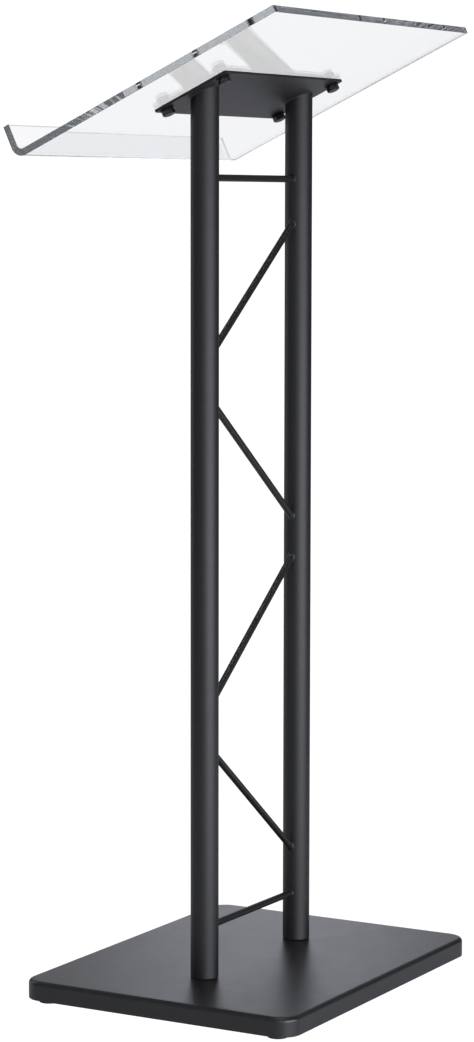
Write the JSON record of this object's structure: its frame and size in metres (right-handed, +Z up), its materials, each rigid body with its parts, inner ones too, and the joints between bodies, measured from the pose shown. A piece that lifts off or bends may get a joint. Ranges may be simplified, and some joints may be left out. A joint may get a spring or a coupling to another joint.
{
  "type": "presentation lectern",
  "caption": "Free-standing lectern: a sloping clear acrylic reading panel with a turned-up ledge, on a black truss column over a flat base with screw-in levelling feet.",
  "frame": {"origin": "on the floor, at the centre of the outline that the lectern's bounding box makes there, 5.2 mm to the reader's side of the column's middle plane", "axes": "+Z up; +X across the lectern, from the left tube to the right one as the audience sees them from the -Y side; +Y towards the reader, -Y towards the audience"},
  "size_m": [0.468, 0.3604, 1.1137],
  "materials": {
    "clear_acrylic": "clear cast acrylic with polished edges",
    "black_powder_coat": "satin black powder coat with a fine texture",
    "satin_black_cover": "smooth satin black coating on pressed sheet steel",
    "black_hardware": "black oxide on steel bolts and washers",
    "zinc_hardware": "bright zinc plate",
    "galvanised_sheet": "galvanised sheet, dull",
    "fibreboard": "raw fibreboard",
    "black_rubber": "matt moulded rubber"
  },
  "bodies": {
    "lectern": {"acrylic_panel": "clear_acrylic", "top_plate": "black_powder_coat", "panel_bolt_1": "black_hardware", "panel_bolt_2": "black_hardware", "panel_bolt_3": "black_hardware", "panel_bolt_4": "black_hardware", "plate_washer_1": "black_hardware", "plate_washer_2": "black_hardware", "plate_washer_3": "black_hardware", "plate_washer_4": "black_hardware", "tube_left": "black_powder_coat", "tube_right": "black_powder_coat", "top_rung": "black_powder_coat", "bottom_rung": "black_powder_coat", "diagonal_1": "black_powder_coat", "diagonal_2": "black_powder_coat", "diagonal_3": "black_powder_coat", "diagonal_4": "black_powder_coat", "base_cover": "satin_black_cover", "base_core": "fibreboard", "bottom_plate": "galvanised_sheet", "tube_plug_left": "zinc_hardware", "tube_plug_right": "zinc_hardware", "bolt_washer_left": "zinc_hardware", "bolt_washer_right": "zinc_hardware", "tube_bolt_left": "zinc_hardware", "tube_bolt_right": "zinc_hardware", "foot_insert_1": "zinc_hardware", "foot_insert_2": "zinc_hardware", "foot_insert_3": "zinc_hardware", "foot_insert_4": "zinc_hardware", "bottom_screw_1": "zinc_hardware", "bottom_screw_2": "zinc_hardware", "bottom_screw_3": "zinc_hardware", "bottom_screw_4": "zinc_hardware"},
    "pad_1": {"foot_pad_1": "black_rubber"},
    "stud_1": {"foot_stud_1": "zinc_hardware"},
    "pad_2": {"foot_pad_2": "black_rubber"},
    "stud_2": {"foot_stud_2": "zinc_hardware"},
    "pad_3": {"foot_pad_3": "black_rubber"},
    "stud_3": {"foot_stud_3": "zinc_hardware"},
    "pad_4": {"foot_pad_4": "black_rubber"},
    "stud_4": {"foot_stud_4": "zinc_hardware"}
  },
  "joints": [
    {"name": "foot_1_travel", "type": "slide", "parent": "lectern", "child": "pad_1", "axis": [0, 0, -1], "range_m": [0, 0.005]},
    {"name": "foot_1_turn", "type": "hinge", "parent": "pad_1", "child": "stud_1", "pos_m": [-0.205, -0.15424, 0.0105], "axis": [0, 0, -1], "range_deg": [0, 1440]},
    {"name": "foot_2_travel", "type": "slide", "parent": "lectern", "child": "pad_2", "axis": [0, 0, -1], "range_m": [0, 0.005]},
    {"name": "foot_2_turn", "type": "hinge", "parent": "pad_2", "child": "stud_2", "pos_m": [0.205, -0.15424, 0.0105], "axis": [0, 0, -1], "range_deg": [0, 1440]},
    {"name": "foot_3_travel", "type": "slide", "parent": "lectern", "child": "pad_3", "axis": [0, 0, -1], "range_m": [0, 0.005]},
    {"name": "foot_3_turn", "type": "hinge", "parent": "pad_3", "child": "stud_3", "pos_m": [0.205, 0.14376, 0.0105], "axis": [0, 0, -1], "range_deg": [0, 1440]},
    {"name": "foot_4_travel", "type": "slide", "parent": "lectern", "child": "pad_4", "axis": [0, 0, -1], "range_m": [0, 0.005]},
    {"name": "foot_4_turn", "type": "hinge", "parent": "pad_4", "child": "stud_4", "pos_m": [-0.205, 0.14376, 0.0105], "axis": [0, 0, -1], "range_deg": [0, 1440]}
  ],
  "couplings": [
    {"joint": "foot_1_turn", "follows": "foot_1_travel", "rad_per_m": 5026.5},
    {"joint": "foot_2_turn", "follows": "foot_2_travel", "rad_per_m": 5026.5},
    {"joint": "foot_3_turn", "follows": "foot_3_travel", "rad_per_m": 5026.5},
    {"joint": "foot_4_turn", "follows": "foot_4_travel", "rad_per_m": 5026.5}
  ]
}
